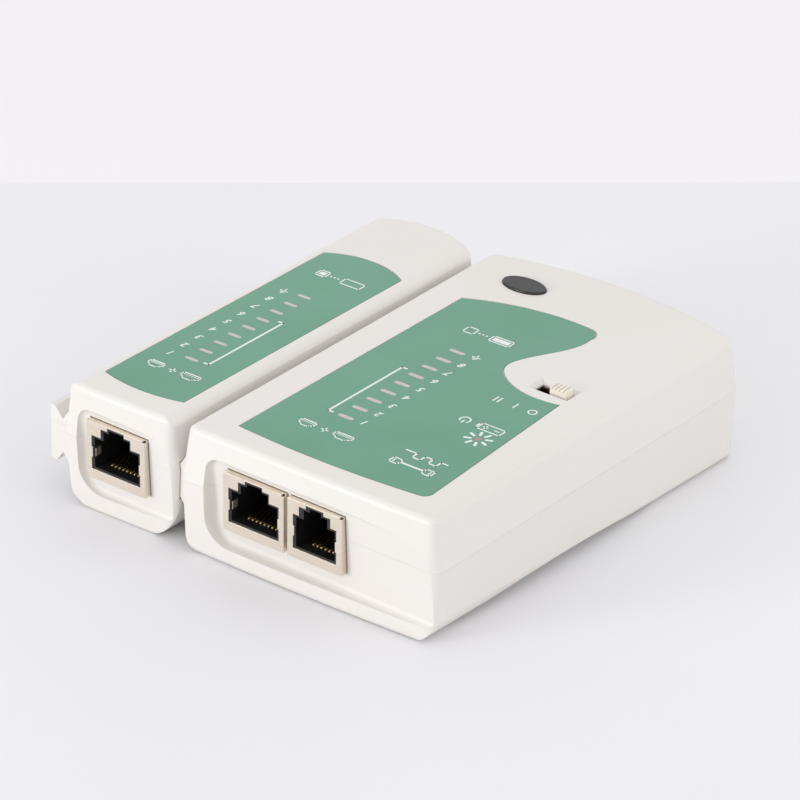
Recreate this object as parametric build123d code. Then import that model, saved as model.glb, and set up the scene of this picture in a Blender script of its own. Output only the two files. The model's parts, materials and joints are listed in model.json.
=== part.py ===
"""Two-unit network cable tester: a master and a remote that mate on a dovetail rail.

Millimetres. +X runs along the jack end, +Y from the jack end to the back, +Z up.
The origin is under the centre of the mated pair, on the surface it stands on.
"""
import os
from math import radians, tan

from build123d import *

os.makedirs("parts", exist_ok=True)

# Both cases
HEIGHT = 28.0
SEAM_Z = 16.4
WALL = 2.0
DRAFT_UP = 7.0
DRAFT_LOW = 2.0
FLOOR_Z = 5.0
FRONT_WALL_Y = -49.8
SEAM_LIP = 0.9
BASE, SEAM, TOP = 0, 1, 2
LABEL_T = 0.25
LABEL_SEAT = 0.3

# Each case: half widths at the front, middle and back, then the curved back end and its sag.
# A front outline gives Y at its left, middle and right, for the base, the seam and the top.
MASTER_X = 18.3
MASTER_HALF = (32.7, 32.9, 33.3)
MASTER_BACK = (55.1, 4.8)
MASTER_FRONTS = ((-54.2, -54.5, -53.5), (-54.8, -54.6, -53.3), (-52.9, -53.0, -52.7))
MASTER_CORNERS = (3.0, 4.6)
MASTER_BELLY = ((25.0, 7.3), (31.9, 1.1))

# Remote case
REMOTE_X = -30.6
REMOTE_Y = -0.8
REMOTE_HALF = (14.9, 14.8, 15.0)
REMOTE_BACK = (53.0, 4.8)
REMOTE_FRONTS = ((-53.2, -53.2, -52.7), (-54.2, -54.0, -53.2), (-52.9, -53.0, -52.7))
REMOTE_CORNERS = (2.8, 4.2)
REMOTE_BELLY = ((6.9, 7.6), (6.9, 7.6))
REMOTE_TOP = (11.15, 2.6)

# Recess round the jacks
SCOOP_TILT = 3.0
SCOOP_R = 1.3

# Underside arch between the two feet
ARCH_R = 225.0
ARCH_RISE = 2.9
ARCH_Y = -12.2

# Dovetail rail on each unit's left side: root, neck and tail half heights by reach
RAIL_Z = 13.9
RAIL_ROOT = 6.0
RAIL_NECK = 3.9
RAIL_TAIL = 6.4
RAIL_REACH = 4.8
RAIL_NECK_REACH = 1.5
RAIL_TAIL_REACH = 3.4
RAIL_START = -51.9
RAIL_END = 20.0
RAIL_PLAY = 0.3

# Jacks
JACK_FACE_Y = -54.2
JACK_Z = 8.5
JACK_H = 13.1
JACK_DEPTH = 15.9
SHEET = 0.3
WIDE_JACK = 15.65
NARROW_JACK = 13.9
CONTACT_PITCH = 1.02
WIDE_X = -13.05
NARROW_X = 2.7

# Circuit boards hang under the top face
BOARD_Z = 21.7
BOARD_T = 1.6
BOARD_TOP = BOARD_Z + BOARD_T
PIN_TIP = 20.7

# Indicators
LED_COUNT = 9
LED_PITCH = 4.6
LED_X = -9.0
LED_Y = -29.7
POWER_XY = (17.3, -20.1)

# Power switch, shown at its off end
SWITCH_XY = (16.4, 6.7)
SLOT_SIZE = (8.2, 3.3)
KNOB_SIZE = (4.3, 2.8)
KNOB_TRAVEL = 3.6
KNOB_TOP = 29.1

# Nine-volt battery across the back of the master
BATTERY = (46.2, 26.5, 17.5)
BATTERY_X = 1.4
BATTERY_Y = 34.6
BATTERY_Z = 2.0
DOOR_HALF = 26.0
DOOR_Y = 19.4
DOOR_T = 1.9

MASTER_SCREWS = [(-25.0, -42.0), (25.0, -42.0), (-25.0, 13.0), (25.0, 13.0)]
REMOTE_SCREWS = [(0.0, -34.8), (0.0, 22.0)]
MASTER_BOARD_SCREWS = [(-24.5, -14.0), (24.5, -14.0), (2.0, 14.6)]
REMOTE_BOARD_SCREWS = [(-6.2, 14.0), (6.2, -26.0)]


def block(x0, x1, y0, y1, z0, z1):
    """Box from its six faces."""
    box = Box(x1 - x0, y1 - y0, z1 - z0)
    return Pos((x0 + x1) / 2, (y0 + y1) / 2, (z0 + z1) / 2) * box


def rod(x, y, r, z0, z1):
    """Upright cylinder."""
    return Pos(x, y, (z0 + z1) / 2) * Cylinder(r, z1 - z0)


def along_y(face, y0, y1):
    """Extrude a face drawn as X, Z from y0 to y1."""
    return extrude(Plane.XZ.offset(-y1) * face, y1 - y0)


def along_x(face, x0, x1):
    """Extrude a face drawn as Y, Z from x0 to x1."""
    return extrude(Plane.YZ.offset(x0) * face, x1 - x0)


def plan(case, wall=0.0, lean=0.0, level=SEAM):
    """Case outline with bowed ends, inset by a wall and, except in front, by the draft."""
    half, fronts, back, corner = case
    half = [h - wall - lean for h in half]
    left, front, right = [y + wall for y in fronts[level]]
    end = back[0] - wall - lean
    rear = end - back[1]
    edges = [
        ThreePointArc((-half[0], left), (0, front), (half[0], right)),
        ThreePointArc((half[0], right), (half[1], 0), (half[2], rear)),
        ThreePointArc((half[2], rear), (0, end), (-half[2], rear)),
        ThreePointArc((-half[2], rear), (-half[1], 0), (-half[0], left)),
    ]
    face = make_face(edges)
    corners = face.vertices().sort_by(Axis.Y)
    face = fillet(corners[:2], max(corner[0] - wall - lean, 0.4))
    corners = face.vertices().sort_by(Axis.Y)
    return fillet(corners[-2:], max(corner[1] - wall - lean, 0.4))


def upper_form(case, height, wall=0.0):
    """Drafted block from the seam up."""
    low = Pos(0, 0, SEAM_Z) * plan(case, wall)
    top = Pos(0, 0, SEAM_Z + height) * plan(case, wall, height * tan(radians(DRAFT_UP)), TOP)
    return loft([low, top], ruled=True)


def lower_form(case, depth, wall=0.0):
    """Drafted block from the seam down."""
    top = Pos(0, 0, SEAM_Z) * plan(case, wall)
    low = Pos(0, 0, SEAM_Z - depth) * plan(case, wall, depth * tan(radians(DRAFT_LOW)), BASE)
    return loft([low, top], ruled=True)


def round_stock(flat, r, z, up):
    """X, Z profile of the stock outside a rounded edge; up is 1 for a lower edge, -1 for an upper."""
    tool = Pos(flat + r, z + up * r / 2) * Rectangle(2 * r, r)
    tool = tool - Pos(flat, z + up * r) * Circle(r)
    return tool + Pos(flat + r, z - up * 0.5) * Rectangle(2 * r, 1.0)


def edge_round(ends, z=0.0, up=1):
    """Stock outside a rounded long edge whose flat and radius run from the front to the back."""
    front, back = ends
    low = Plane.XZ.offset(70) * round_stock(front[0], front[1], z, up)
    high = Plane.XZ.offset(-70) * round_stock(back[0], back[1], z, up)
    one = loft([low, high], ruled=True)
    return one + mirror(one, Plane.YZ)


def arch():
    """Space under the arched underside."""
    bar = Rot(0, 90, 0) * Cylinder(ARCH_R, 90)
    return Pos(0, ARCH_Y, ARCH_RISE - ARCH_R) * bar


def rail_face(play=0.0):
    """Dovetail profile in X, Z, standing out of a side at X = 0 toward -X."""
    neck = RAIL_NECK + play
    tail = RAIL_TAIL + play
    reach = RAIL_REACH + play
    lead = RAIL_TAIL_REACH - play
    top = [(1.5, RAIL_ROOT), (0, RAIL_ROOT), (-RAIL_NECK_REACH, neck), (-lead, tail)]
    top = top + [(-reach, tail)]
    low = [(x, -z) for x, z in reversed(top)]
    return Pos(0, RAIL_Z) * make_face(Polyline(*top, *low, close=True))


def scoop(x0, x1, z0, z1, floor_y, turn):
    """Recess round the jacks, its turned floor meeting the walls in a hollow fillet."""
    face = Pos((x0 + x1) / 2, (z0 + z1) / 2) * Rectangle(x1 - x0, z1 - z0)
    left = face.vertices().sort_by(Axis.X)[:2].sort_by(Axis.Y)
    face = fillet(left[0], 6.0)
    left = face.vertices().sort_by(Axis.Y)[-2:].sort_by(Axis.X)
    face = fillet(left[0], 3.0)
    tool = along_y(face, -62, -46)
    keep = Pos(x0, floor_y, 14) * Rot(SCOOP_TILT, 0, -turn) * Pos(0, 50, 0) * Box(300, 100, 300)
    tool = tool - keep
    return fillet(tool.faces().sort_by(Axis.Y)[-1].edges(), SCOOP_R)


def jack_hole(x, width):
    """Clearance round one jack in a front wall."""
    gap = 0.15
    x0 = x - width / 2 - gap
    x1 = x + width / 2 + gap
    return block(x0, x1, -60, -49, JACK_Z - gap, JACK_Z + JACK_H + gap)


def lip_ring(case, play):
    """Ring at the seam, open in front, that locates the upper shell on the lower one."""
    ring = plan(case, 0.95 - play) - plan(case, WALL + 0.2) - Pos(0, -60) * Rectangle(100, 22)
    return extrude(Pos(0, 0, SEAM_Z) * ring, SEAM_LIP + play)


def screw_post(x, y):
    """Lower post with a counterbore from below, open at both ends once cut."""
    return rod(x, y, 3.3, 3.0, 9.4)


def screw_bore(x, y):
    """Counterbore and clearance hole of one lower post."""
    return rod(x, y, 2.7, -1, 7.0) + rod(x, y, 1.6, 6.9, 9.5)


def upper_post(x, y):
    """Upper post that takes a case screw from below."""
    return rod(x, y, 2.6, 9.5, HEIGHT - WALL + 0.4) - rod(x, y, 1.25, 9.4, 18.0)


def screw(x, y, z_head, z_top, head_r, head_t, shank_r):
    """Pan-head screw driven upward, with a cross recess in its head."""
    head = fillet(rod(x, y, head_r, z_head, z_head + head_t).faces().sort_by(Axis.Z)[0].edges(), 0.4)
    body = head + rod(x, y, shank_r, z_head + head_t, z_top)
    for a, b in ((1.4, 0.25), (0.25, 1.4)):
        body = body - block(x - a, x + a, y - b, y + b, z_head - 1, z_head + 0.7)
    return body


# Master case


MASTER_CASE = (MASTER_HALF, MASTER_FRONTS, MASTER_BACK, MASTER_CORNERS)


def master_scoop():
    return scoop(-25.6, 36, 4.1, 23.3, -52.2, 0.8)


def master_label_face(g=0.0):
    """Label outline with the cut-out that clears the switch, grown by g."""
    nose = (9.0 + g, 29.0)
    heel = (6.4, 33.1 + g)
    corner = (21.2 + g, 1.8 + g)
    low_left = (-23.2 - g, -46.3 - g)
    low_right = (24.3 + g, -45.6 - g)
    high_left = (-23.3 - g, 27.3 + g)
    bend = [(13.0, 1.3 + g), (5.9 + g, 4.1 + g), (2.4 + g, 8.6), (3.1 + g, 12.9), (6.4 + g, 19.4)]
    notch = Spline(corner, *bend, nose)
    tip = ThreePointArc(nose, (8.5 + g, 31.8 + g), heel)
    back = ThreePointArc(heel, (-8.8, 32.5 + g), high_left)
    front = ThreePointArc(low_left, (0.5, -47.2 - g), low_right)
    sides = [Line(low_right, corner), Line(high_left, low_left)]
    face = make_face([front, notch, tip, back] + sides)
    near = face.vertices().sort_by(Axis.Y)[:2].sort_by(Axis.X)[-1]
    return fillet(near, 2.0)


def light_slots(x, y):
    """Slots in the top face for the row of indicators."""
    cuts = []
    for i in range(LED_COUNT):
        yi = y + i * LED_PITCH
        cuts.append(block(x - 2.45, x + 2.45, yi - 1.1, yi + 1.1, 25, 29))
    return cuts


def master_top_shell():
    body = upper_form(MASTER_CASE, HEIGHT - SEAM_Z)
    body = fillet(body.faces().sort_by(Axis.Z)[-1].edges(), 1.3)
    hollow = upper_form(MASTER_CASE, HEIGHT - SEAM_Z - WALL, WALL)
    body = body - (hollow & block(-40, 40, FRONT_WALL_Y, 60, 10, 30))
    rail = along_y(rail_face(), RAIL_START, RAIL_END)
    body = body + (Pos(-MASTER_HALF[0], 0, 0) * rail & block(-50, 0, -60, 60, SEAM_Z, 30))
    for x, y in MASTER_SCREWS:
        body = body + upper_post(x, y)
    for x, y in MASTER_BOARD_SCREWS:
        body = body + (rod(x, y, 2.4, BOARD_TOP, 26.4) - rod(x, y, 0.9, BOARD_TOP - 1, 26.2))
    for x in (-12.0, 12.0):
        body = body + block(x - 0.7, x + 0.7, 24, 46, 19.8, 26.2)
    body = body - lip_ring(MASTER_CASE, 0.1)
    body = body - master_scoop()
    body = body - jack_hole(WIDE_X, WIDE_JACK) - jack_hole(NARROW_X, NARROW_JACK)
    body = body - extrude(Pos(0, 0, HEIGHT - LABEL_SEAT) * master_label_face(0.2), 2)
    body = body - light_slots(LED_X, LED_Y)
    body = body - rod(POWER_XY[0], POWER_XY[1], 1.6, 25, 29)
    body = body - Pos(0, 0, HEIGHT - 0.2) * badge_form(0.1, 1.0)
    return body - switch_slot()


def switch_slot():
    """Slot with a bevelled rim, and the pocket for the switch frame under it."""
    x, y = SWITCH_XY
    hx = SLOT_SIZE[0] / 2
    hy = SLOT_SIZE[1] / 2
    through = block(x - hx, x + hx, y - hy, y + hy, 25, 29)
    rim = Pos(x, y, HEIGHT) * Rectangle(SLOT_SIZE[0] + 1.8, SLOT_SIZE[1] + 1.8)
    bevel = extrude(rim, 0.9, dir=(0, 0, -1), taper=45)
    pocket = block(x - 6.7, x + 6.7, y - 3.6, y + 3.6, 25, 26.7)
    return through + bevel + pocket


def master_bottom_shell():
    body = lower_form(MASTER_CASE, SEAM_Z)
    body = fillet(body.faces().sort_by(Axis.Z)[0].edges(), 1.6)
    body = body - edge_round(MASTER_BELLY) - arch()
    hollow = lower_form(MASTER_CASE, SEAM_Z - FLOOR_Z, WALL)
    body = body - (hollow & block(-40, 40, FRONT_WALL_Y, 60, 0, 30))
    rail = along_y(rail_face(), RAIL_START, RAIL_END)
    body = body + (Pos(-MASTER_HALF[0], 0, 0) * rail & block(-50, 0, -60, 60, 0, SEAM_Z))
    body = body + block(-29, 29, DOOR_Y - 1.4, DOOR_Y - 0.15, 2.6, SEAM_Z - 0.2)
    body = body - block(-27.5, -18, DOOR_Y - 2, DOOR_Y + 1, 8.5, 20)
    for x, y in MASTER_SCREWS:
        body = body + screw_post(x, y)
        body = body - screw_bore(x, y)
    body = body + lip_ring(MASTER_CASE, 0)
    body = body - block(-26.15, 26.15, DOOR_Y - 0.15, 70, -1, 2.05)
    body = body - block(-26.15, 26.15, DOOR_Y - 0.15, 48.6, 2.0, FLOOR_Z + 0.1)
    for s in (-26.05, 26.05):
        body = body - block(s - 1.4, s + 1.4, DOOR_Y - 0.15, 70, 1.8, 3.05)
    body = body - master_scoop()
    return body - jack_hole(WIDE_X, WIDE_JACK) - jack_hole(NARROW_X, NARROW_JACK)


def battery_door():
    """Sliding door, cut from the same form as the case, with side tongues and grip grooves."""
    form = lower_form(MASTER_CASE, SEAM_Z)
    form = fillet(form.faces().sort_by(Axis.Z)[0].edges(), 1.6)
    form = form - edge_round(MASTER_BELLY) - arch()
    plate = form & block(-DOOR_HALF, DOOR_HALF, DOOR_Y, 60, -1, DOOR_T)
    for s in (-1, 1):
        tongue = Pos(s * 26.05, 40, 2.4) * Box(2.5, 41.2, 1.0)
        plate = plate + (form & tongue)
        plate = plate + (form & Pos(s * 26.3, 40, 2.1) * Box(1.6, 41.2, 0.42))
    for i in range(6):
        y = 36.0 + i * 1.8
        plate = plate - block(-9, 9, y - 0.45, y + 0.45, -1, 0.5)
    return plate


def master_label():
    sheet = extrude(Pos(0, 0, HEIGHT - LABEL_SEAT) * master_label_face(), LABEL_T)
    return sheet


def badge_form(grow, thick):
    """Oval plate of the badge."""
    return extrude(Pos(-16.5, 40.2) * Ellipse(5.4 + grow, 3.15 + grow), thick)


def oval_badge():
    plate = Pos(0, 0, HEIGHT - 0.2) * badge_form(0, 0.7)
    return fillet(plate.faces().sort_by(Axis.Z)[-1].edges(), 0.3)


# Jacks


def stepped_face(width, bottom, shoulder, step_w, step_z, key_w, key_z):
    """Socket mouth with its two-step latch key on top, in X, Z above the jack's base."""
    main = Pos(0, (bottom + shoulder) / 2) * Rectangle(width, shoulder - bottom)
    step = Pos(0, (bottom + step_z) / 2) * Rectangle(step_w, step_z - bottom)
    key = Pos(0, (bottom + key_z) / 2) * Rectangle(key_w, key_z - bottom)
    return Pos(0, JACK_Z) * (main + step + key)


def jack_shield(x, width, mouth):
    """Folded sheet-metal shield with side spring tabs and board pegs."""
    y1 = JACK_FACE_Y + JACK_DEPTH
    z1 = JACK_Z + JACK_H
    half = width / 2
    body = block(-half, half, JACK_FACE_Y, y1, JACK_Z, z1)
    body = body - block(-half + SHEET, half - SHEET, JACK_FACE_Y + SHEET, y1 + 1, JACK_Z + SHEET, z1 - SHEET)
    body = body - along_y(stepped_face(mouth, 2.1, 9.9, 8.05, 12.0, 4.5, 12.8), -56, JACK_FACE_Y + 1)
    body = body - block(half - 0.6, half + 1, JACK_FACE_Y - 1, JACK_FACE_Y + 0.8, z1 - 0.4, z1 + 1)
    body = body - block(2 - half, half - 2, JACK_FACE_Y + 12.8, y1 + 1, z1 - 0.6, z1 + 1)
    for s in (-1, 1):
        edge = s * mouth / 2
        tab = block(-0.15, 0.15, JACK_FACE_Y, JACK_FACE_Y + 3.6, JACK_Z + 4.9, JACK_Z + 7.2)
        body = body + Pos(edge - s * 0.15, 0, 0) * tab
        peg = Pos(s * (half - 0.15), JACK_FACE_Y + 9.5, z1 + 1.2) * Box(0.3, 1.6, 2.6)
        body = body + peg
    return Pos(x, 0, 0) * body


def contact_path(thick):
    """Side view of one contact wire in Y, Z: board pin, back drop, floor run, raised spring."""
    y = JACK_FACE_Y
    z = JACK_Z
    path = Polyline(
        (y + 14.2, z + JACK_H + 2.4),
        (y + 14.2, z + 1.5),
        (y + 3.3, z + 1.5),
        (y + 3.0, z + 2.5),
        (y + 10.6, z + 4.9),
    )
    return trace(path, thick)


def contact_wires(x, count):
    """Row of gold contact wires."""
    wires = []
    for i in range(count):
        xi = x + (i - (count - 1) / 2) * CONTACT_PITCH
        wires.append(along_x(contact_path(0.36), xi - 0.2, xi + 0.2))
    return wires


def jack_insert(x, width, mouth, contacts):
    """Moulded insert: plug cavity with its latch key, and channels for the contact wires."""
    y0 = JACK_FACE_Y + SHEET
    y1 = JACK_FACE_Y + JACK_DEPTH - 0.2
    half = width / 2 - SHEET
    body = block(-half, half, y0, y1, JACK_Z + SHEET, JACK_Z + JACK_H - SHEET)
    key = mouth * 0.5
    cavity = stepped_face(mouth, 2.5, 9.3, key + 1.1, 11.4, key - 2.0, 12.2)
    body = body - along_y(cavity, y0 - 1, y0 + 11.4)
    for s in (-1, 1):
        xs = s * (mouth + 1.2) / 2
        body = body - block(xs - 0.5, xs + 0.5, y0 - 1, y0 + 4.2, JACK_Z + 4.7, JACK_Z + 7.4)
    return Pos(x, 0, 0) * body - contacts


# Boards and what they carry


def led_pins(x, y):
    """Pin positions of a row of rectangular indicators."""
    pins = []
    for i in range(LED_COUNT):
        pins.append((x - 1.27, y + i * LED_PITCH))
        pins.append((x + 1.27, y + i * LED_PITCH))
    return pins


def led_row(x, y):
    """Row of identical rectangular indicator lamps with their legs."""
    lamps = []
    for i in range(LED_COUNT):
        yi = y + i * LED_PITCH
        lens = block(x - 2.3, x + 2.3, yi - 0.95, yi + 0.95, 24.0, 27.55)
        top = lens.faces().sort_by(Axis.Z)[-1].edges()
        lens = fillet(top, 0.25)
        lens = lens + rod(x - 1.27, yi, 0.3, PIN_TIP, 24.1) + rod(x + 1.27, yi, 0.3, PIN_TIP, 24.1)
        lamps.append(lens)
    return lamps


def power_lamp():
    """Three-millimetre round lamp with a rim and two legs."""
    x, y = POWER_XY
    lens = rod(x, y, 1.45, 24.0, 26.2) + Pos(x, y, 26.2) * Sphere(1.45)
    lens = lens & block(x - 3, x + 3, y - 3, y + 3, 24, 27.6)
    lens = lens + rod(x, y, 1.9, 24.0, 24.8)
    return lens + rod(x - 1.27, y, 0.3, PIN_TIP, 24.1) + rod(x + 1.27, y, 0.3, PIN_TIP, 24.1)


def jack_pins(x, count):
    """Board holes of one jack's contact pins."""
    pins = []
    for i in range(count):
        pins.append((x + (i - (count - 1) / 2) * CONTACT_PITCH, JACK_FACE_Y + 14.2))
    return pins


def peg_slots(x, width):
    """Slots for a shield's board pegs."""
    cuts = []
    for s in (-1, 1):
        xs = x + s * (width / 2 - 0.15)
        cuts.append(Pos(xs, JACK_FACE_Y + 9.5, BOARD_Z) * Box(0.6, 2.0, 6))
    return cuts


CHIP_XY = (2.0, -8.0)
TIMER_XY = (15.0, -34.0)
CHIP_PITCH = 2.54
ROW_GAP = 7.62


def chip_pins(xy, pairs):
    """Pin positions of a dual in-line chip lying along Y."""
    pins = []
    for i in range(pairs):
        y = xy[1] + (i - (pairs - 1) / 2) * CHIP_PITCH
        pins.append((xy[0] - ROW_GAP / 2, y))
        pins.append((xy[0] + ROW_GAP / 2, y))
    return pins


def chip(xy, pairs):
    """Dual in-line chip hanging under the board, with a notch at its pin-one end."""
    x, y = xy
    half = pairs * CHIP_PITCH / 2
    body = block(x - 3.2, x + 3.2, y - half, y + half, BOARD_Z - 4.0, BOARD_Z - 0.6)
    body = chamfer(body.faces().sort_by(Axis.Z)[0].edges(), 0.4)
    body = body - rod(x, y - half, 0.8, BOARD_Z - 5, BOARD_Z - 3.6)
    for px, py in chip_pins(xy, pairs):
        side = 1 if px > x else -1
        body = body + block(px - 0.15, px + 0.15, py - 0.25, py + 0.25, BOARD_Z - 2.4, BOARD_TOP + 0.6)
        x0 = min(x + side * 3.0, px + side * 0.15)
        x1 = max(x + side * 3.0, px + side * 0.15)
        body = body + block(x0, x1, py - 0.6, py + 0.6, BOARD_Z - 2.4, BOARD_Z - 2.1)
    return body


def axial(x, y, r, length, span):
    """Axial part lying along X under the board, with its bent leads."""
    z = BOARD_Z - r - 0.3
    body = Pos(x, y, z) * Rot(0, 90, 0) * Cylinder(r, length)
    caps = body.edges().filter_by(GeomType.CIRCLE)
    body = fillet(caps, r * 0.3)
    body = body + Pos(x, y, z) * Rot(0, 90, 0) * Cylinder(0.3, span + 0.56)
    for s in (-1, 1):
        body = body + rod(x + s * span / 2, y, 0.26, z - 0.1, BOARD_TOP + 0.7)
    return body


RESISTORS = [(-18.0, -30.0), (-18.0, -26.5), (-18.0, -3.0), (-18.0, 0.5), (16.5, -16.0), (16.5, -12.5)]
DIODES = [(-5.4, -17.95), (-5.4, -8.75), (-5.4, 0.45), (5.4, -13.35), (5.4, -4.15), (5.4, 5.05)]
RESISTOR_SPAN = 10.16
DIODE_SPAN = 7.62
CAP_XY = (13.0, -24.5)


def master_pin_holes():
    """All round board holes of the master, as x, y pairs."""
    holes = led_pins(LED_X, LED_Y) + [(POWER_XY[0] - 1.27, POWER_XY[1])]
    holes = holes + [(POWER_XY[0] + 1.27, POWER_XY[1])]
    holes = holes + jack_pins(WIDE_X, 8) + jack_pins(NARROW_X, 6)
    holes = holes + chip_pins(CHIP_XY, 8) + chip_pins(TIMER_XY, 4)
    for x, y in RESISTORS:
        holes = holes + [(x - RESISTOR_SPAN / 2, y), (x + RESISTOR_SPAN / 2, y)]
    holes = holes + [(CAP_XY[0], CAP_XY[1] - 1.25), (CAP_XY[0], CAP_XY[1] + 1.25)]
    holes = holes + switch_pin_spots()
    return holes


def master_pcb():
    board = block(-28.2, 28.2, -49.4, DOOR_Y - 1.2, BOARD_Z, BOARD_TOP)
    board = fillet(board.edges().filter_by(Axis.Z), 1.5)
    for x, y in MASTER_SCREWS:
        board = board - rod(x, y, 3.2, 20, 25)
        edge = 30 if x > 0 else -30
        board = board - block(min(x, edge), max(x, edge), y - 3.2, y + 3.2, 20, 25)
    for x, y in MASTER_BOARD_SCREWS:
        board = board - rod(x, y, 1.2, 20, 25)
    drills = [rod(x, y, 0.45, 20, 25) for x, y in master_pin_holes()]
    board = board - drills
    board = board - peg_slots(WIDE_X, WIDE_JACK) - peg_slots(NARROW_X, NARROW_JACK)
    return board - [rod(x, y, 0.65, 20, 25) for x, y in LEAD_HOLES]


def capacitor():
    """Radial electrolytic capacitor hanging under the board."""
    x, y = CAP_XY
    can = rod(x, y, 2.5, BOARD_Z - 8.0, BOARD_Z - 0.4)
    can = fillet(can.edges().filter_by(GeomType.CIRCLE), 0.4)
    groove = rod(x, y, 3.0, BOARD_Z - 1.9, BOARD_Z - 1.3) - rod(x, y, 2.25, BOARD_Z - 2, BOARD_Z - 1)
    can = can - groove
    for s in (-1, 1):
        can = can + rod(x, y + s * 1.25, 0.3, BOARD_Z - 0.6, BOARD_TOP + 0.7)
    return can


# Power switch


def switch_pin_spots():
    """Two rows of switch terminals."""
    x, y = SWITCH_XY
    return [(x + i * 2.5, y + s * 1.9) for i in (-1.5, -0.5, 0.5, 1.5) for s in (-1, 1)]


def switch_base():
    """Laminate base with its terminals."""
    x, y = SWITCH_XY
    base = block(x - 6.2, x + 6.2, y - 3.1, y + 3.1, BOARD_TOP, 24.3)
    for px, py in switch_pin_spots():
        base = base + rod(px, py, 0.35, PIN_TIP, BOARD_TOP + 0.1)
    return base


def switch_can():
    """Folded frame over the base, open along the knob's travel."""
    x, y = SWITCH_XY
    can = block(x - 6.5, x + 6.5, y - 3.4, y + 3.4, BOARD_TOP + 0.3, 26.6)
    can = fillet(can.edges().filter_by(Axis.Z), 0.5)
    can = can - block(x - 6.2, x + 6.2, y - 3.1, y + 3.1, 20, 26.3)
    return can - block(x - 4.3, x + 4.3, y - 1.6, y + 1.6, 26, 27)


def switch_knob():
    """Ridged knob and its slider foot, at the off end."""
    x, y = SWITCH_XY
    xk = x + KNOB_TRAVEL / 2
    hx = KNOB_SIZE[0] / 2
    hy = KNOB_SIZE[1] / 2
    stem = block(xk - hx, xk + hx, y - hy, y + hy, 24.5, KNOB_TOP)
    stem = fillet(stem.edges().filter_by(Axis.Z), 0.4)
    stem = fillet(stem.faces().sort_by(Axis.Z)[-1].edges(), 0.3)
    for i in range(4):
        xr = xk + (i - 1.5) * 0.95
        stem = stem - block(xr - 0.2, xr + 0.2, y - 3, y + 3, KNOB_TOP - 0.4, 30)
    return stem + block(xk - hx, xk + hx, y - 2.7, y + 2.7, 24.5, 26.1)


# Battery


LEAD_HOLES = [(-20.5, 15.6), (-17.5, 15.6)]


def battery_body():
    """Metal-jacketed block battery."""
    lx, ly, lz = BATTERY
    case = Pos(BATTERY_X, BATTERY_Y, BATTERY_Z + lz / 2) * Box(lx, ly, lz)
    return fillet(case.edges().filter_by(Axis.X), 2.2)


def battery_terminals():
    """The two snap studs."""
    x0 = BATTERY_X - BATTERY[0] / 2
    z = BATTERY_Z + BATTERY[2] / 2
    turn = Rot(0, -90, 0)
    small = Pos(x0, BATTERY_Y - 6.35, z) * turn * Pos(0, 0, 1.15) * Cylinder(2.8, 2.3)
    large = Pos(x0, BATTERY_Y + 6.35, z) * turn * Pos(0, 0, 1.15) * Cylinder(3.8, 2.3)
    large = large - Pos(x0 - 2.3, BATTERY_Y + 6.35, z) * turn * Cylinder(2.7, 3.0)
    return [small, large]


def battery_snap():
    """Snap-on connector cap."""
    x1 = BATTERY_X - BATTERY[0] / 2 - 2.3
    z = BATTERY_Z + BATTERY[2] / 2
    pad = Pos(x1 - 1.2, BATTERY_Y, z) * Box(2.4, 25.4, 10.5)
    pad = fillet(pad.edges().filter_by(Axis.X), 4.0)
    for s in (-1, 1):
        pad = pad - Pos(x1 - 2.4, BATTERY_Y + s * 6.35, z) * Rot(0, 90, 0) * Cylinder(2.0, 1.0)
    return pad


def battery_lead(index):
    """Insulated lead from the snap cap, over the bay wall, up into the board."""
    x1 = BATTERY_X - BATTERY[0] / 2 - 3.5
    bx, by = LEAD_HOLES[index]
    y0 = BATTERY_Y - 12.7
    z0 = 12.9 - 2.6 * index
    rise = Spline((x1, y0, z0), (bx, by, BOARD_Z - 1.2), tangents=[(0, -1, 0), (0, 0, 1)])
    start = Plane(rise @ 0, z_dir=(0, -1, 0))
    lead = sweep(start * Circle(0.6), path=rise)
    return lead + rod(bx, by, 0.6, BOARD_Z - 1.2, BOARD_TOP + 0.6)


# Remote case


REMOTE_CASE = (REMOTE_HALF, REMOTE_FRONTS, REMOTE_BACK, REMOTE_CORNERS)


def remote_scoop():
    return scoop(-10.6, 18.0, 4.2, 23.5, -52.35, 1.0)


def rail_slot():
    """Dovetail slot in the remote's right side, open at the back only."""
    side = MASTER_X - MASTER_HALF[0] - REMOTE_X
    start = RAIL_START - REMOTE_Y - 0.2
    return Pos(side, 0, 0) * along_y(rail_face(RAIL_PLAY), start, 70)


def slot_wall():
    """Thick wall behind the slot."""
    return block(10.1, 15, -53, 60, 5.4, 22.4)


def remote_outer_up():
    body = upper_form(REMOTE_CASE, HEIGHT - SEAM_Z)
    body = fillet(body.faces().sort_by(Axis.Z)[-1].edges(), 1.3)
    return body - edge_round((REMOTE_TOP, REMOTE_TOP), HEIGHT, -1)


def remote_outer_low():
    body = lower_form(REMOTE_CASE, SEAM_Z)
    body = fillet(body.faces().sort_by(Axis.Z)[0].edges(), 0.8)
    return body - edge_round(REMOTE_BELLY) - arch()


def remote_label_face(g=0.0):
    """Label outline, grown by g."""
    x = 10.5 + g
    front = ThreePointArc((-x, -44.9 - g), (0, -46.5 - g), (x, -44.9 - g))
    back = ThreePointArc((x, 26.3 + g), (0, 29.5 + g), (-x, 26.3 + g))
    sides = [Line((x, -44.9 - g), (x, 26.3 + g)), Line((-x, 26.3 + g), (-x, -44.9 - g))]
    return make_face([front, back] + sides)


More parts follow.
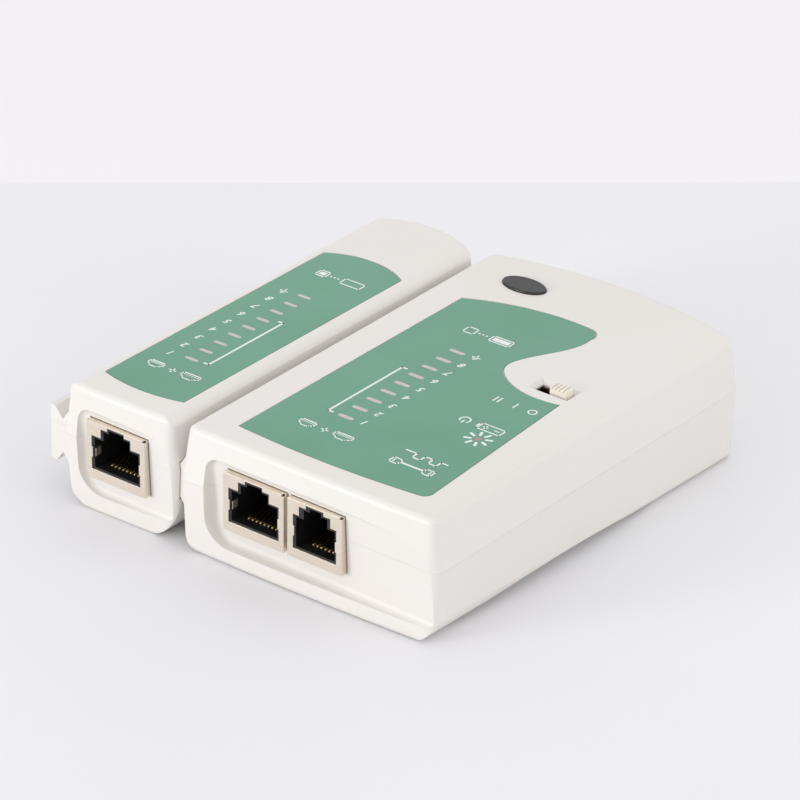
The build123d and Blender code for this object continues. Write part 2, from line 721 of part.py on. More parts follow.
def remote_top_shell():
    outer = remote_outer_up()
    hollow = upper_form(REMOTE_CASE, HEIGHT - SEAM_Z - WALL, WALL)
    body = outer - (hollow & block(-20, 20, FRONT_WALL_Y, 60, 10, 30))
    body = body + (outer & slot_wall())
    rail = along_y(rail_face(), RAIL_START, RAIL_END)
    body = body + (Pos(-REMOTE_HALF[0], 0, 0) * rail & block(-50, 0, -60, 60, SEAM_Z, 30))
    for x, y in REMOTE_SCREWS:
        body = body + upper_post(x, y)
    for x, y in REMOTE_BOARD_SCREWS:
        body = body + (rod(x, y, 2.2, BOARD_TOP, 26.4) - rod(x, y, 0.9, BOARD_TOP - 1, 26.2))
    body = body - lip_ring(REMOTE_CASE, 0.1) - rail_slot() - remote_scoop()
    body = body - jack_hole(0, WIDE_JACK)
    body = body - extrude(Pos(0, 0, HEIGHT - LABEL_SEAT) * remote_label_face(0.2), 2)
    return body - light_slots(0, LED_Y)


def remote_bottom_shell():
    outer = remote_outer_low()
    hollow = lower_form(REMOTE_CASE, SEAM_Z - FLOOR_Z - 0.6, WALL)
    belly = (REMOTE_BELLY[0][0], REMOTE_BELLY[0][1] - WALL)
    hollow = hollow - edge_round((belly, belly), WALL)
    body = outer - (hollow & block(-20, 20, FRONT_WALL_Y, 60, 0, 30))
    body = body + (outer & slot_wall())
    rail = along_y(rail_face(), RAIL_START, RAIL_END)
    body = body + (Pos(-REMOTE_HALF[0], 0, 0) * rail & block(-50, 0, -60, 60, 0, SEAM_Z))
    for x, y in REMOTE_SCREWS:
        body = body + screw_post(x, y)
        body = body - screw_bore(x, y)
    body = body + (lip_ring(REMOTE_CASE, 0) - block(9.9, 16, -60, 60, 10, 20))
    body = body - rail_slot() - remote_scoop()
    return body - jack_hole(0, WIDE_JACK)


def remote_pcb():
    board = block(-11.4, 9.7, -49.4, 26.0, BOARD_Z, BOARD_TOP)
    board = fillet(board.edges().filter_by(Axis.Z), 1.2)
    for x, y in REMOTE_SCREWS:
        board = board - rod(x, y, 3.1, 20, 25)
    for x, y in REMOTE_BOARD_SCREWS:
        board = board - rod(x, y, 1.2, 20, 25)
    holes = led_pins(0, LED_Y) + jack_pins(0, 8)
    for x, y in DIODES:
        holes = holes + [(x - DIODE_SPAN / 2, y), (x + DIODE_SPAN / 2, y)]
    board = board - [rod(x, y, 0.45, 20, 25) for x, y in holes]
    return board - peg_slots(0, WIDE_JACK)


def board_screw(x, y):
    return screw(x, y, BOARD_Z - 1.5, BOARD_TOP + 2.6, 2.0, 1.5, 0.9)


def case_screw(x, y):
    return screw(x, y, 5.2, 17.6, 2.5, 1.8, 1.25)


def save(name, part, x, y=0.0):
    """Place a sub-part and write it."""
    placed = [Pos(x, y, 0) * p for p in part] if isinstance(part, list) else [Pos(x, y, 0) * part]
    solids = []
    for piece in placed:
        solids = solids + list(piece.solids())
    shape = solids[0] if len(solids) == 1 else Compound(children=solids)
    export_step(shape, "parts/" + name + ".step")


def build_master():
    wide = contact_wires(WIDE_X, 8)
    narrow = contact_wires(NARROW_X, 6)
    parts = {
        "master_top_shell": master_top_shell(),
        "master_bottom_shell": master_bottom_shell(),
        "battery_door": battery_door(),
        "master_label": master_label(),
        "oval_badge": oval_badge(),
        "rj45_shield": jack_shield(WIDE_X, WIDE_JACK, 13.1),
        "rj45_insert": jack_insert(WIDE_X, WIDE_JACK, 11.9, wide),
        "rj45_contacts": wide,
        "rj11_shield": jack_shield(NARROW_X, NARROW_JACK, 11.1),
        "rj11_insert": jack_insert(NARROW_X, NARROW_JACK, 9.9, narrow),
        "rj11_contacts": narrow,
        "master_pcb": master_pcb(),
        "master_leds": led_row(LED_X, LED_Y),
        "power_led": power_lamp(),
        "switch_base": switch_base(),
        "switch_can": switch_can(),
        "switch_knob": switch_knob(),
        "counter_chip": chip(CHIP_XY, 8),
        "timer_chip": chip(TIMER_XY, 4),
        "master_resistors": [axial(x, y, 1.15, 6.2, RESISTOR_SPAN) for x, y in RESISTORS],
        "master_capacitor": capacitor(),
        "battery_body": battery_body(),
        "battery_terminals": battery_terminals(),
        "battery_snap": battery_snap(),
        "battery_lead_red": battery_lead(0),
        "battery_lead_black": battery_lead(1),
        "master_case_screws": [case_screw(x, y) for x, y in MASTER_SCREWS],
        "master_pcb_screws": [board_screw(x, y) for x, y in MASTER_BOARD_SCREWS],
    }
    for name, part in parts.items():
        save(name, part, MASTER_X)


def build_remote():
    wires = contact_wires(0, 8)
    shifted = {
        "remote_shield": jack_shield(0, WIDE_JACK, 13.1),
        "remote_insert": jack_insert(0, WIDE_JACK, 11.9, wires),
        "remote_contacts": wires,
        "remote_pcb": remote_pcb(),
        "remote_leds": led_row(0, LED_Y),
        "remote_diodes": [axial(x, y, 0.9, 4.0, DIODE_SPAN) for x, y in DIODES],
        "remote_case_screws": [case_screw(x, y) for x, y in REMOTE_SCREWS],
        "remote_pcb_screws": [board_screw(x, y) for x, y in REMOTE_BOARD_SCREWS],
    }
    for name, part in shifted.items():
        save(name, part, REMOTE_X, REMOTE_Y)
    save("remote_top_shell", remote_top_shell(), REMOTE_X, REMOTE_Y)
    save("remote_bottom_shell", remote_bottom_shell(), REMOTE_X, REMOTE_Y)
    sheet = extrude(Pos(0, 0, HEIGHT - LABEL_SEAT) * remote_label_face(), LABEL_T)
    save("remote_label", sheet, REMOTE_X, REMOTE_Y)


build_master()
build_remote()
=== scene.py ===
"""Looks of the two-unit network cable tester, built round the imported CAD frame."""
import json
from math import cos, pi, radians, sin

import bmesh
import bpy
from mathutils import Matrix, Vector


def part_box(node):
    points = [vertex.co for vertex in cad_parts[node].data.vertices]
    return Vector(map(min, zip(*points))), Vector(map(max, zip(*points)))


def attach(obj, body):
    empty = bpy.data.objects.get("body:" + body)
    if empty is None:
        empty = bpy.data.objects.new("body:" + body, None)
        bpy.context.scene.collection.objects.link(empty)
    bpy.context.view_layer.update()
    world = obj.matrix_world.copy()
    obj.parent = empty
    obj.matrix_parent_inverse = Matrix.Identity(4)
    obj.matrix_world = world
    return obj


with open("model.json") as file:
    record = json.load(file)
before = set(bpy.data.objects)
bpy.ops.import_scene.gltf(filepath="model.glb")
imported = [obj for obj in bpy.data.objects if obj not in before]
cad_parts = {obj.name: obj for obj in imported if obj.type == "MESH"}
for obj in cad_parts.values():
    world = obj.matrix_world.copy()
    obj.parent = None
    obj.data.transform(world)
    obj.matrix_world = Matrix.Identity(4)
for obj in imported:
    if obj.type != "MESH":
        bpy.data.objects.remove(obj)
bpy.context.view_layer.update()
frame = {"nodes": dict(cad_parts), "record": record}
NODES = frame["nodes"]
MM = 0.001


def srgb(r, g, b):
    """Linear colour from 0 to 255 display values."""
    out = []
    for c in (r, g, b):
        c = c / 255
        out.append(c / 12.92 if c <= 0.04045 else ((c + 0.055) / 1.055) ** 2.4)
    return (*out, 1.0)


# Materials


class Look:
    """A principled material with helpers that add its procedural detail."""

    def __init__(self, name, color, rough, metal=0.0, **sockets):
        self.mat = bpy.data.materials.new(name)
        self.mat.use_nodes = True
        self.nodes = self.mat.node_tree.nodes
        self.links = self.mat.node_tree.links
        self.bsdf = self.nodes["Principled BSDF"]
        self.color = color
        self.bsdf.inputs["Base Color"].default_value = color
        self.bsdf.inputs["Roughness"].default_value = rough
        self.bsdf.inputs["Metallic"].default_value = metal
        for key, value in sockets.items():
            self.bsdf.inputs[key.replace("_", " ")].default_value = value
        self.coords = self.nodes.new("ShaderNodeTexCoord").outputs["Object"]
        self.last_color = None
        self.last_normal = None

    def noise(self, scale, detail, stretch=None):
        """Noise factor in object space, scale in features per metre."""
        node = self.nodes.new("ShaderNodeTexNoise")
        node.inputs["Scale"].default_value = scale
        node.inputs["Detail"].default_value = detail
        source = self.coords
        if stretch:
            mapping = self.nodes.new("ShaderNodeMapping")
            mapping.inputs["Scale"].default_value = stretch
            self.links.new(source, mapping.inputs["Vector"])
            source = mapping.outputs["Vector"]
        self.links.new(source, node.inputs["Vector"])
        return node.outputs["Fac"]

    def ramp(self, fac, low, high, stops):
        """Colour ramp between two stops."""
        node = self.nodes.new("ShaderNodeValToRGB")
        for element, stop, color in zip(node.color_ramp.elements, stops, (low, high)):
            element.position = stop
            element.color = color
        self.links.new(fac, node.inputs["Fac"])
        return node.outputs["Color"]

    def mix(self, fac, first, second):
        """Mix of two colours, each a socket or a value."""
        node = self.nodes.new("ShaderNodeMix")
        node.data_type = "RGBA"
        for value, index in ((fac, 0), (first, 6), (second, 7)):
            if isinstance(value, (int, float, tuple)):
                node.inputs[index].default_value = value
            else:
                self.links.new(value, node.inputs[index])
        return node.outputs[2]

    def tone(self, other, scale, stops, share, stretch=None):
        """Blend another colour in by noise, up to a share."""
        noise = self.noise(scale, 4.0, stretch)
        fac = self.ramp(noise, (0, 0, 0, 1), (share, share, share, 1), stops)
        first = self.last_color or self.color
        self.last_color = self.mix(fac, first, other)
        self.links.new(self.last_color, self.bsdf.inputs["Base Color"])
        return self

    def gloss(self, low, high, scale, stretch=None):
        """Roughness that wanders between two values."""
        node = self.nodes.new("ShaderNodeMapRange")
        node.inputs["From Min"].default_value = 0.3
        node.inputs["From Max"].default_value = 0.7
        node.inputs["To Min"].default_value = low
        node.inputs["To Max"].default_value = high
        self.links.new(self.noise(scale, 4.0, stretch), node.inputs["Value"])
        self.links.new(node.outputs["Result"], self.bsdf.inputs["Roughness"])
        return self

    def bump(self, scale, depth, strength, detail=2.0, stretch=None):
        """Fine relief, depth in metres."""
        node = self.nodes.new("ShaderNodeBump")
        node.inputs["Strength"].default_value = strength
        node.inputs["Distance"].default_value = depth
        self.links.new(self.noise(scale, detail, stretch), node.inputs["Height"])
        if self.last_normal:
            self.links.new(self.last_normal, node.inputs["Normal"])
        self.last_normal = node.outputs["Normal"]
        self.links.new(self.last_normal, self.bsdf.inputs["Normal"])
        return self

    def soft_edges(self, radius):
        """Small rounding of every edge in the shading."""
        node = self.nodes.new("ShaderNodeBevel")
        node.samples = 6
        node.inputs["Radius"].default_value = radius
        self.last_normal = node.outputs["Normal"]
        self.links.new(self.last_normal, self.bsdf.inputs["Normal"])
        return self


def case_plastic(name, base, shade):
    """Moulded case plastic with a fine spark-eroded grain."""
    look = Look(name, base, 0.42, Coat_Weight=0.08, Coat_Roughness=0.3)
    look.soft_edges(0.00018)
    look.tone(shade, 18.0, (0.3, 0.8), 0.5)
    look.tone(srgb(206, 196, 182), 260.0, (0.70, 0.86), 0.2)
    look.gloss(0.36, 0.52, 55.0)
    look.bump(5200.0, 0.00002, 0.35)
    return look.bump(900.0, 0.00002, 0.25).mat


def printed_film(name, base, shade):
    """Satin label film with a light print dot."""
    look = Look(name, base, 0.34, Coat_Weight=0.25, Coat_Roughness=0.22)
    look.tone(shade, 24.0, (0.3, 0.75), 0.6)
    look.tone(srgb(176, 205, 190), 3200.0, (0.60, 0.78), 0.16)
    look.gloss(0.28, 0.42, 70.0)
    return look.bump(3800.0, 0.000012, 0.5).mat


def ink(name, base):
    """Screen-printed ink, a little thin in places."""
    look = Look(name, base, 0.45)
    look.tone(srgb(186, 205, 196), 2600.0, (0.45, 0.75), 0.5)
    return look.bump(4200.0, 0.00001, 0.4).mat


def window_film(name, base, shade):
    """Diffusing film or lens over an unlit lamp."""
    look = Look(name, base, 0.3, Coat_Weight=0.3)
    look.tone(shade, 1400.0, (0.35, 0.7), 0.6)
    return look.bump(3000.0, 0.00001, 0.4).mat


def sheet_metal(name, base, shade, metal=1.0):
    """Rolled sheet, with its grain drawn out along the roll."""
    grain = (1.0, 1.0, 9.0)
    look = Look(name, base, 0.3, metal)
    look.soft_edges(0.00012)
    look.tone(shade, 300.0, (0.3, 0.75), 0.35, grain)
    look.gloss(0.28, 0.40, 700.0, grain)
    return look.bump(2200.0, 0.000004, 0.25, 3.0, grain).mat


# Heights in metres over which painted shade darkens the contact gold to dark brown, standing in
# for the shadow inside the jack cavity.
PAINTED_SHADE_START = 0.01115
PAINTED_SHADE_FULL = 0.01130


def wire_gold(name, base, shade):
    """Gold on the front bends, with painted shade that darkens it further up the spring,
    standing in for the shadow inside the jack cavity.
    """
    look = Look(name, base, 0.3, 0.7)
    look.soft_edges(0.00016)
    look.tone(shade, 900.0, (0.35, 0.7), 0.4)
    # Painted shade: above a set height the gold is mixed to dark brown, as if in the cavity's
    # shadow.
    axes = look.nodes.new("ShaderNodeSeparateXYZ")
    look.links.new(look.coords, axes.inputs["Vector"])
    rise = look.nodes.new("ShaderNodeMapRange")
    rise.inputs["From Min"].default_value = PAINTED_SHADE_START
    rise.inputs["From Max"].default_value = PAINTED_SHADE_FULL
    look.links.new(axes.outputs["Z"], rise.inputs["Value"])
    painted_shade = look.mix(rise.outputs["Result"], look.last_color, srgb(46, 37, 24))
    look.links.new(painted_shade, look.bsdf.inputs["Base Color"])
    look.gloss(0.24, 0.38, 900.0)
    return look.bump(2600.0, 0.000006, 0.3).mat


def moulded(name, base, shade, rough):
    """Plain moulded or lacquered part."""
    look = Look(name, base, rough)
    look.soft_edges(0.0001)
    look.tone(shade, 300.0, (0.35, 0.75), 0.6)
    look.gloss(rough - 0.08, rough + 0.1, 400.0)
    return look.bump(2600.0, 0.00002, 0.4).mat


def laminate(name, base, shade):
    """Pressed board under a clear mask, with a faint weave."""
    look = Look(name, base, 0.32, Coat_Weight=0.3)
    look.tone(shade, 900.0, (0.35, 0.7), 0.7, (1.0, 0.25, 1.0))
    look.gloss(0.25, 0.45, 600.0)
    return look.bump(1500.0, 0.00002, 0.3).mat


MATERIALS = {
    "case_cream": case_plastic("cream_plastic", srgb(229, 225, 220), srgb(223, 218, 211)),
    "label_green": printed_film("green_film", srgb(92, 152, 125), srgb(74, 138, 110)),
    "badge_black": moulded("badge_gloss", srgb(36, 33, 33), srgb(48, 45, 45), 0.24),
    "shield_tin": sheet_metal("tin_sheet", srgb(232, 222, 208), srgb(212, 196, 174), metal=0.85),
    "insert_black": moulded("black_moulding", srgb(24, 23, 22), srgb(36, 34, 32), 0.42),
    "contact_gold": wire_gold("gold_wire", srgb(255, 226, 146), srgb(240, 196, 110)),
    "board_green": laminate("board_mask", srgb(24, 96, 48), srgb(16, 78, 38)),
    "lamp_milky": window_film("lamp_lens", srgb(206, 196, 190), srgb(190, 176, 170)),
    "lamp_red": window_film("red_lens", srgb(178, 138, 132), srgb(158, 116, 110)),
    "laminate_brown": laminate("brown_laminate", srgb(142, 98, 58), srgb(116, 76, 44)),
    "frame_steel": sheet_metal("frame_steel", srgb(196, 196, 194), srgb(164, 164, 162)),
    "knob_cream": case_plastic("knob_plastic", srgb(236, 230, 218), srgb(226, 217, 200)),
    "chip_black": moulded("chip_epoxy", srgb(32, 32, 33), srgb(46, 46, 47), 0.55),
    "resistor_tan": moulded("resistor_lacquer", srgb(202, 172, 126), srgb(182, 148, 102), 0.4),
    "diode_amber": moulded("diode_bead", srgb(196, 110, 44), srgb(158, 76, 26), 0.2),
    "capacitor_blue": moulded("capacitor_sleeve", srgb(28, 44, 104), srgb(20, 32, 80), 0.35),
    "battery_jacket": sheet_metal("battery_jacket", srgb(58, 62, 74), srgb(44, 48, 58)),
    "stud_nickel": sheet_metal("nickel", srgb(206, 203, 196), srgb(176, 172, 164)),
    "snap_vinyl": moulded("black_vinyl", srgb(26, 26, 26), srgb(38, 38, 38), 0.6),
    "lead_red": moulded("red_insulation", srgb(178, 34, 30), srgb(150, 22, 20), 0.4),
    "lead_black": moulded("black_insulation", srgb(24, 24, 24), srgb(36, 36, 36), 0.4),
    "screw_steel": sheet_metal("zinc_screw", srgb(182, 184, 188), srgb(150, 152, 156)),
}
INK_WHITE = ink("white_ink", srgb(232, 238, 234))
WINDOW = window_film("window_film", srgb(198, 190, 188), srgb(180, 170, 168))


def dress_frame():
    """Give every carried-over CAD node its finish."""
    for row in frame["record"]["subparts"]:
        node = NODES[row["node"]]
        node.data.materials.clear()
        node.data.materials.append(MATERIALS[row["material_slot"]])


def add_piece(name, mesh, material, body):
    """Link a new mesh that rides on a body."""
    piece = bpy.data.objects.new(name, mesh)
    bpy.context.scene.collection.objects.link(piece)
    mesh.materials.append(material)
    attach(piece, body)


# Printed marks


class Print:
    """Flat shapes gathered into one thin layer over a label, drawn in mm in the row frame."""

    THICK = 0.02
    CAP_STEPS = 4
    ARC_STEPS = 28
    SLANT = 0.25
    WEIGHT = 0.022

    def __init__(self):
        self.shapes = bmesh.new()

    def polygon(self, points):
        """Closed outline, raised to the layer's thickness."""
        low = [self.shapes.verts.new((x, y, 0.0)) for x, y in points]
        high = [self.shapes.verts.new((x, y, self.THICK)) for x, y in points]
        self.shapes.faces.new(high)
        self.shapes.faces.new(list(reversed(low)))
        count = len(points)
        for i in range(count):
            j = (i + 1) % count
            self.shapes.faces.new((low[i], low[j], high[j], high[i]))
        return self

    def stroke(self, a, b, width):
        """Line with round ends."""
        a = Vector(a)
        b = Vector(b)
        along = (b - a).normalized()
        side = Vector((-along.y, along.x))
        r = width / 2
        points = []
        for centre, start in ((b, -pi / 2), (a, pi / 2)):
            for i in range(self.CAP_STEPS + 1):
                t = start + pi * i / self.CAP_STEPS
                points.append(tuple(centre + along * (r * cos(t)) + side * (r * sin(t))))
        self.polygon(points)

    def path(self, points, width):
        """Joined strokes."""
        for a, b in zip(points, points[1:]):
            self.stroke(a, b, width)

    def ring(self, centre, radius, width, start, end):
        """Arc of a circle as one closed band."""
        x, y = centre
        far = radius + width / 2
        near = radius - width / 2
        outer = []
        inner = []
        for i in range(self.ARC_STEPS + 1):
            t = radians(start + (end - start) * i / self.ARC_STEPS)
            outer.append((x + far * cos(t), y + far * sin(t)))
            inner.append((x + near * cos(t), y + near * sin(t)))
        return self.polygon(outer + inner[::-1])

    def text(self, mark, at, size):
        """One figure, upright for a reader at the back."""
        curve = bpy.data.curves.new("figure", "FONT")
        curve.body = mark
        curve.size = size
        curve.shear = self.SLANT
        curve.offset = size * self.WEIGHT
        curve.align_x = "CENTER"
        curve.align_y = "CENTER"
        curve.extrude = self.THICK / 2
        curve.resolution_u = 6
        figure = bpy.data.objects.new("figure", curve)
        bpy.context.scene.collection.objects.link(figure)
        depsgraph = bpy.context.evaluated_depsgraph_get()
        mesh = bpy.data.meshes.new_from_object(figure.evaluated_get(depsgraph))
        place = Matrix.Translation((*at, self.THICK / 2))
        mesh.transform(place @ Matrix.Rotation(pi, 4, "Z"))
        self.shapes.from_mesh(mesh)
        bpy.data.objects.remove(figure)
        bpy.data.meshes.remove(mesh)
        bpy.data.curves.remove(curve)

    def finish(self, name, label, body, material, slot=None):
        """Lay the shapes on a label's top face."""
        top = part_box(label)[1].z
        bmesh.ops.remove_doubles(self.shapes, verts=self.shapes.verts, dist=1e-5)
        bmesh.ops.recalc_face_normals(self.shapes, faces=self.shapes.faces)
        mesh = bpy.data.meshes.new(name)
        self.shapes.to_mesh(mesh)
        self.shapes.free()
        mesh.transform(Matrix.Translation((0, 0, top)) @ Matrix.Diagonal((MM, MM, MM, 1)))
        add_piece(name, mesh, material, body)


PITCH = 4.6
FIRST_Y = -29.7
LINE = 0.5
FIGURE = 2.5
FULL_TURN = 359.9
LAMPS = 9


def window_row(sheet, x, y, width, height):
    """Nine lamp windows with rounded corners."""
    reach = width / 2 - height / 2
    for i in range(LAMPS):
        yi = y + PITCH * i
        sheet.stroke((x - reach, yi), (x + reach, yi), height)
    return sheet


def earth_mark(sheet, x, y):
    """Earth symbol beside the last lamp, upright for a reader at the back."""
    sheet.stroke((x, y + 1.0), (x, y + 0.1), 0.28)
    for i, half in enumerate((0.95, 0.6, 0.25)):
        yi = y + 0.05 - i * 0.5
        sheet.stroke((x - half, yi), (x + half, yi), 0.28)


def figure_row(sheet, x, y):
    """Figures beside all lamps but the last, which has the earth symbol."""
    for i in range(LAMPS - 1):
        sheet.text(str(i + 1), (x, y + PITCH * i), FIGURE)
    earth_mark(sheet, x, y + PITCH * (LAMPS - 1))


def bracket(sheet, x, y0, y1, tick):
    """Line beside lamps one to six, with a short tick at each end."""
    sheet.path([(x + tick, y0), (x, y0), (x, y1), (x + tick, y1)], LINE)


def jack_mark(sheet, x, y, width, ways):
    """Outline of a jack mouth with its latch key and contacts."""
    w = width / 2
    outline = [(-w, -1.1), (w, -1.1), (w, 0.5), (w * 0.55, 0.5), (w * 0.55, 1.15)]
    outline = outline + [(-w * 0.55, 1.15), (-w * 0.55, 0.5), (-w, 0.5), (-w, -1.1)]
    sheet.path([(x - u, y - v) for u, v in outline], 0.3)
    for i in range(ways):
        u = (i - (ways - 1) / 2) * width * 0.72 / (ways - 1)
        sheet.stroke((x - u, y + 0.85), (x - u, y + 0.2), 0.2)


def jacks_mark(sheet, x, y, first, second):
    """Two jack marks joined by a plus, the reader's left one first."""
    jack_mark(sheet, x + 4.6, y, 4.6, first)
    sheet.stroke((x - 0.8, y), (x + 0.8, y), 0.35)
    sheet.stroke((x, y - 0.8), (x, y + 0.8), 0.35)
    jack_mark(sheet, x - 4.6, y, 3.8, second)


def corners(x0, x1, y0, y1):
    """Corners of a rectangle, in order."""
    return [(x0, y0), (x1, y0), (x1, y1), (x0, y1)]


def unit_mark(sheet, x, y, master):
    """Pictogram of the pair, with this unit filled in."""
    boxes = ((x + 3.6, 2.6, master), (x - 4.4, 1.3, not master))
    for cx, half, filled in boxes:
        outline = corners(cx - half, cx + half, y - 1.2, y + 1.2)
        sheet.path(outline + outline[:1], 0.32)
        if filled:
            sheet.polygon(corners(cx - half + 0.5, cx + half - 0.5, y - 0.7, y + 0.7))
    for i in range(3):
        sheet.stroke((x - 0.2 - i * 0.95, y), (x - 0.25 - i * 0.95, y), 0.5)


def cable_mark(sheet, x, y):
    """Two plugs on a cable, over a square-wave trace."""
    for s in (-1, 1):
        sheet.path([(x + s * 5.2, y - 3.0), (x + s * 3.0, y - 3.0), (x + s * 3.0, y - 5.0),
                    (x + s * 5.2, y - 5.0), (x + s * 5.2, y - 3.0)], 0.35)
        sheet.stroke((x + s * 4.5, y - 3.5), (x + s * 4.5, y - 4.5), 0.3)
    sheet.stroke((x - 3.0, y - 4.0), (x + 3.0, y - 4.0), 0.55)
    trace = [(5.2, 0.9), (3.6, 0.9), (3.6, -0.9), (1.6, -0.9), (1.6, 0.9), (-0.4, 0.9)]
    trace = trace + [(-0.4, -0.9), (-2.4, -0.9), (-2.4, 0.9), (-5.2, 0.9)]
    sheet.path([(x + u, y + v) for u, v in trace], 0.4)


def battery_mark(sheet, x, y):
    """Battery outline with its signs, beside a standby ring."""
    outline = corners(x + 5.2, x - 0.4, y - 1.2, y + 1.2)
    sheet.path(outline + outline[:1], 0.34)
    sheet.stroke((x - 0.9, y - 0.45), (x - 0.9, y + 0.45), 0.45)
    sheet.stroke((x + 3.2, y), (x + 4.4, y), 0.3)
    sheet.stroke((x + 0.4, y), (x + 1.6, y), 0.3)
    sheet.stroke((x + 1.0, y - 0.6), (x + 1.0, y + 0.6), 0.3)
    sheet.ring((x - 4.2, y), 1.15, 0.36, -50, 230)
    sheet.stroke((x - 4.2, y - 1.35), (x - 4.2, y - 0.25), 0.36)


def rays(sheet, x, y):
    """Eight rays round the power lamp's window."""
    for i in range(8):
        t = radians(22.5 + 45 * i)
        inner, outer = [(x + r * cos(t), y + r * sin(t)) for r in (1.65, 2.85)]
        sheet.stroke(inner, outer, 0.62)


def switch_marks(sheet, y):
    """Off, on and slow positions as plain signs."""
    sheet.ring((37.2, y), 0.9, 0.32, 0, FULL_TURN)
    for x in (32.9, 28.9, 27.9):
        sheet.stroke((x, y - 0.95), (x, y + 0.95), 0.36)


POWER = (35.6, -20.1)


def master_print():
    """White print, lamp windows and power window of the master's label."""
    sheet = Print()
    figure_row(sheet, 13.85, FIRST_Y + 0.5)
    bracket(sheet, 4.7, -29.7, -5.4, 1.1)
    rays(sheet, *POWER)
    unit_mark(sheet, 9.9, 16.7, True)
    jacks_mark(sheet, 9.4, -36.7, 8, 6)
    cable_mark(sheet, 32.4, -33.6)
    battery_mark(sheet, 32.8, -15.3)
    switch_marks(sheet, -4.1)
    sheet.finish("master_print", "master_label", "master", INK_WHITE)
    windows = window_row(Print(), 9.25, FIRST_Y, 3.9, 1.05)
    windows.finish("master_windows", "master_label", "master", WINDOW, "lamp_milky")
    lamp = Print().ring(POWER, 0.35, 0.7, 0, FULL_TURN)
    lamp.finish("power_window", "master_label", "master", MATERIALS["lamp_red"], "lamp_red")


def remote_print():
    """White print and lamp windows of the remote's label."""
    sheet = Print()
    figure_row(sheet, -36.2, -30.9)
    bracket(sheet, -26.8, -30.0, -5.8, -1.1)
    unit_mark(sheet, -30.6, 17.6, False)
    jacks_mark(sheet, -30.9, -36.6, 6, 8)
    sheet.finish("remote_print", "remote_label", "remote", INK_WHITE)
    windows = window_row(Print(), -31.1, -30.3, 3.4, 0.95)
    windows.finish("remote_windows", "remote_label", "remote", WINDOW, "lamp_milky")


TAB_SIZE = (0.18, 1.7, 1.9)
TAB_FROM_CENTRE = 5.89
TAB_BEHIND_FACE = 1.35
TAB_Z = 14.35


def spring_tab(name, shield, centre, body):
    """Sprung tab of a shield, showing in the left wall of the jack's cavity."""
    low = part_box(shield)[0]
    size = Vector(TAB_SIZE) * MM
    middle = Vector((centre - TAB_FROM_CENTRE, 0, TAB_Z)) * MM
    middle.y = low.y + TAB_BEHIND_FACE * MM
    mesh = bpy.data.meshes.new(name)
    shape = bmesh.new()
    place = Matrix.Translation(middle) @ Matrix.Diagonal((*size, 1))
    bmesh.ops.create_cube(shape, size=1.0, matrix=place)
    bmesh.ops.bevel(shape, geom=shape.edges[:], offset=0.05 * MM, segments=2, affect="EDGES")
    shape.to_mesh(mesh)
    shape.free()
    add_piece(name, mesh, MATERIALS["shield_tin"], body)


# Stage


CAMERA_AT = (0.56409, -0.726, 0.50659)
CAMERA_AZIMUTH = radians(37.849)
CAMERA_TILT = radians(28.062)
CAMERA_ROLL = radians(0.803)
LENS_MM = 225
SENSOR_MM = 36


def add_camera():
    """Long lens at the front right, looking down at the pair."""
    data = bpy.data.cameras.new("camera")
    data.lens = LENS_MM
    data.sensor_width = SENSOR_MM
    camera = bpy.data.objects.new("camera", data)
    bpy.context.scene.collection.objects.link(camera)
    level = cos(CAMERA_TILT)
    back = Vector((sin(CAMERA_AZIMUTH) * level, -cos(CAMERA_AZIMUTH) * level, sin(CAMERA_TILT)))
    turn = back.to_track_quat("Z", "Y").to_matrix().to_4x4()
    roll = Matrix.Rotation(CAMERA_ROLL, 4, "Z")
    camera.matrix_world = Matrix.Translation(CAMERA_AT) @ turn @ roll
    bpy.context.scene.camera = camera


LIT_POINT = (0, 0, 0.01)


def area_light(name, at, size, power, color):
    """Soft round light turned to the object."""
    data = bpy.data.lights.new(name, "AREA")
    data.shape = "DISK"
    data.size = size
    data.energy = power
    data.color = color
    light = bpy.data.objects.new(name, data)
    bpy.context.scene.collection.objects.link(light)
    light.location = at
    aim = Vector(LIT_POINT) - Vector(at)
    light.rotation_euler = aim.to_track_quat("-Z", "Y").to_euler()


BOARD_EDGE = Vector((-85.9, 109.3)) * MM
BOARD_TURN = radians(40.0)
EDGE_BLUR = 0.0004
FLOOR_HALF = 1.6


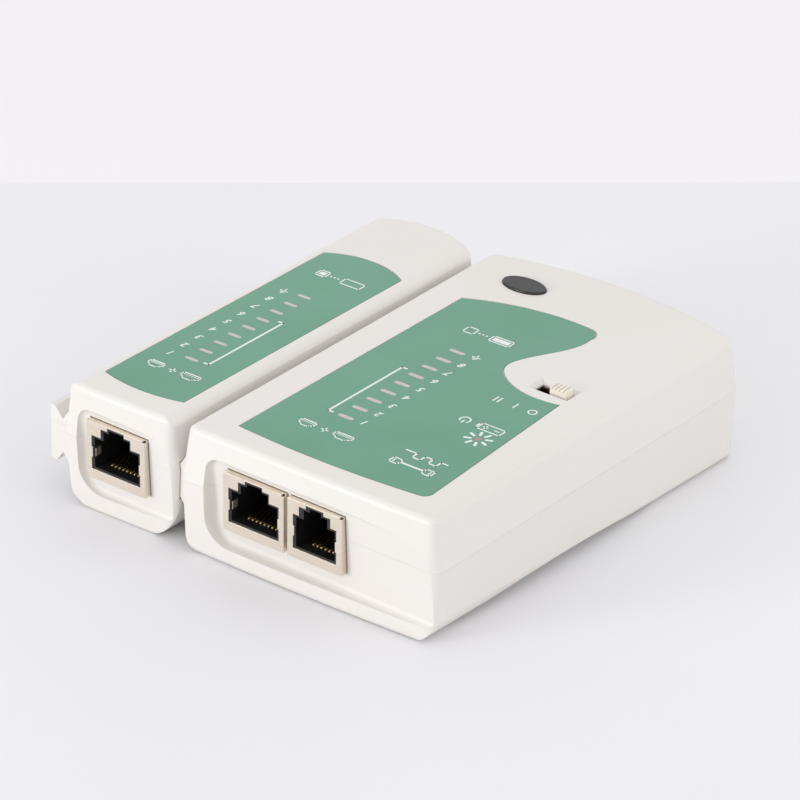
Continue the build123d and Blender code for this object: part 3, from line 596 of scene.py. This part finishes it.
def floor_material():
    """Pale matt board, meeting a lighter backdrop sheet behind the object."""
    look = Look("floor_board", srgb(236, 236, 238), 0.7)
    look.tone(srgb(231, 230, 233), 5.0, (0.35, 0.65), 0.7)
    look.tone(srgb(214, 213, 214), 420.0, (0.72, 0.86), 0.25)
    split = look.nodes.new("ShaderNodeMapping")
    split.vector_type = "TEXTURE"
    split.inputs["Location"].default_value = (*BOARD_EDGE, 0)
    split.inputs["Rotation"].default_value = (0, 0, BOARD_TURN)
    look.links.new(look.coords, split.inputs["Vector"])
    axes = look.nodes.new("ShaderNodeSeparateXYZ")
    look.links.new(split.outputs["Vector"], axes.inputs["Vector"])
    side = look.nodes.new("ShaderNodeMapRange")
    side.inputs["From Max"].default_value = EDGE_BLUR
    look.links.new(axes.outputs["Y"], side.inputs["Value"])
    back = look.mix(side.outputs["Result"], look.last_color, srgb(241, 239, 240))
    look.links.new(back, look.bsdf.inputs["Base Color"])
    look.bump(1200.0, 0.00002, 0.15)
    return look.mat


def add_floor():
    """Flat floor under and behind the object."""
    mesh = bpy.data.meshes.new("floor")
    shape = bmesh.new()
    bmesh.ops.create_grid(shape, x_segments=8, y_segments=8, size=FLOOR_HALF)
    shape.to_mesh(mesh)
    shape.free()
    floor = bpy.data.objects.new("floor", mesh)
    bpy.context.scene.collection.objects.link(floor)
    mesh.materials.append(floor_material())


def add_world():
    """Even, almost white surroundings."""
    world = bpy.data.worlds.new("studio")
    bpy.context.scene.world = world
    world.use_nodes = True
    node = world.node_tree.nodes["Background"]
    node.inputs["Color"].default_value = (0.985, 0.985, 1.0, 1)
    node.inputs["Strength"].default_value = 0.93


dress_frame()
master_print()
remote_print()
spring_tab("rj45_spring_tab", "rj45_shield", 5.25, "master")
spring_tab("remote_spring_tab", "remote_shield", -30.6, "remote")
add_camera()
add_floor()
add_world()
area_light("key", (-0.6, -1.2, 0.28), 0.5, 6.2, (1.0, 1.0, 1.0))
area_light("fill", (1.1, 0.1, 0.55), 0.6, 2.0, (1.0, 0.98, 0.96))
bpy.context.scene.view_settings.view_transform = "Standard"
